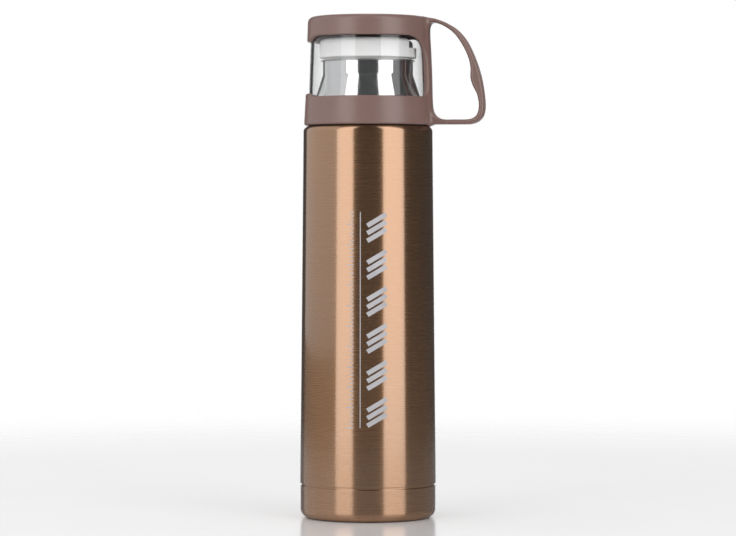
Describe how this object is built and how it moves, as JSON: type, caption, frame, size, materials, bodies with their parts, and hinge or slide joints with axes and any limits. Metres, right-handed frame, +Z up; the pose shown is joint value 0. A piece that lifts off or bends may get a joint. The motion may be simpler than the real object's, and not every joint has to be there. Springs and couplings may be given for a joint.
{
  "type": "vacuum flask",
  "caption": "Slim double-walled steel vacuum flask with a screw-on clear cup in a framed handle, and a screw stopper with a push-button valve.",
  "frame": {"origin": "on the bottle's axis, on the surface that it stands on", "axes": "+Z up along the bottle's axis, +X towards the cup's handle"},
  "size_m": [0.0933, 0.0684, 0.2514],
  "materials": {
    "bronze_paint": "hairline-brushed steel under a clear bronze coat",
    "polished_steel": "polished",
    "steel": "plain drawn sheet",
    "seal_metal": "dull cast bead",
    "getter_metal": "dull pressed powder",
    "copper": "bright foil",
    "brown_plastic": "satin moulded",
    "clear_plastic": "clear, polished",
    "pale_plastic": "satin moulded",
    "stem_plastic": "natural moulded",
    "clear_silicone": "soft, translucent",
    "dark_silicone": "soft, matt",
    "spring_steel": "bright drawn wire"
  },
  "bodies": {
    "flask": {"outer_shell": "bronze_paint", "base_cap": "bronze_paint", "outer_bottom": "steel", "seal_plug": "seal_metal", "getter": "getter_metal", "inner_liner": "polished_steel", "liner_bottom": "steel", "copper_foil": "copper", "neck_collar": "polished_steel"},
    "gasket": {"stopper_gasket": "clear_silicone"},
    "stopper": {"stopper_body": "pale_plastic", "stopper_cover": "pale_plastic", "stem_seal": "dark_silicone", "button_spring": "spring_steel"},
    "button": {"push_button": "pale_plastic", "valve_stem": "stem_plastic", "valve_washer": "clear_silicone", "valve_plate": "stem_plastic"},
    "seat_ring": {"cup_seat_ring": "dark_silicone"},
    "cup": {"cup_liner": "clear_plastic", "cup_frame": "brown_plastic"}
  },
  "joints": [
    {"name": "stopper_rise", "type": "slide", "parent": "flask", "child": "gasket", "axis": [0, 0, 1], "range_m": [0, 0.036]},
    {"name": "stopper_turn", "type": "hinge", "parent": "gasket", "child": "stopper", "pos_m": [0, 0, 0], "axis": [0, 0, 1], "range_deg": [0, 1080]},
    {"name": "button_press", "type": "slide", "parent": "stopper", "child": "button", "axis": [0, 0, -1], "range_m": [0, 0.003], "stiffness_N_per_m": 300, "springref_m": -0.003, "deforming": ["button_spring"]},
    {"name": "cup_rise", "type": "slide", "parent": "stopper", "child": "seat_ring", "axis": [0, 0, 1], "range_m": [0, 0.06]},
    {"name": "cup_turn", "type": "hinge", "parent": "seat_ring", "child": "cup", "pos_m": [0, 0, 0], "axis": [0, 0, 1], "range_deg": [0, 1800]}
  ],
  "couplings": [
    {"joint": "stopper_turn", "follows": "stopper_rise", "rad_per_m": 523.6},
    {"joint": "cup_turn", "follows": "cup_rise", "rad_per_m": 523.6}
  ]
}
